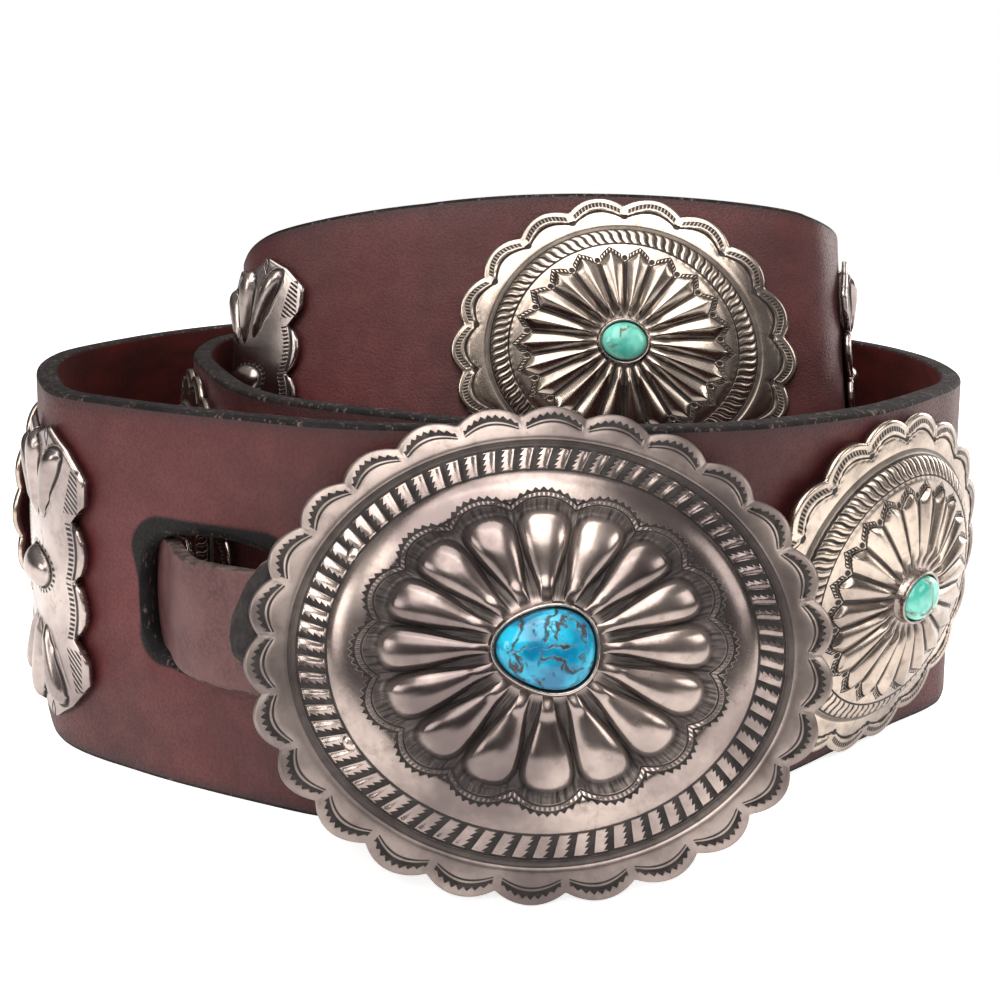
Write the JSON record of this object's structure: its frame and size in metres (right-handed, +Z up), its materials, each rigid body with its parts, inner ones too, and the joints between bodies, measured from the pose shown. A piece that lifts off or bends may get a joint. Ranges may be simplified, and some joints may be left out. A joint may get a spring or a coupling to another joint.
{
  "type": "concho belt",
  "caption": "Wide leather strap wound in a coil on its edge, carrying oval scalloped silver conchos, upright butterfly plates and a domed silver buckle with turquoise stones.",
  "frame": {"origin": "under the middle of the belt's bounding box, on the surface that the coil stands on", "axes": "+Z up, the coil's front with the buckle towards -Y, +X to the right as seen from the front"},
  "size_m": [0.2332, 0.2272, 0.1162],
  "materials": {
    "strap_leather": "satin, oxblood, with black-dyed edges",
    "tab_leather": "dull, reddish, with tan raw edges",
    "buckle_silver": "stamped silver with a dark patina",
    "plate_silver": "stamped silver with a warm patina",
    "buckle_turquoise": "polished sky-blue stone with a brown-black matrix",
    "concho_turquoise": "polished green-blue stone"
  },
  "bodies": {
    "root": {"strap": "strap_leather", "buckle_tab": "tab_leather", "buckle": "buckle_silver", "buckle_stone": "buckle_turquoise", "butterfly_1": "plate_silver", "concho_1": "plate_silver", "concho_stone_1": "concho_turquoise", "butterfly_2": "plate_silver", "concho_2": "plate_silver", "concho_stone_2": "concho_turquoise", "butterfly_3": "plate_silver", "concho_3": "plate_silver", "concho_stone_3": "concho_turquoise", "butterfly_4": "plate_silver", "concho_4": "plate_silver", "concho_stone_4": "concho_turquoise", "butterfly_5": "plate_silver", "concho_5": "plate_silver", "concho_stone_5": "concho_turquoise", "butterfly_6": "plate_silver", "concho_6": "plate_silver", "concho_stone_6": "concho_turquoise", "butterfly_7": "plate_silver"}
  },
  "joints": []
}
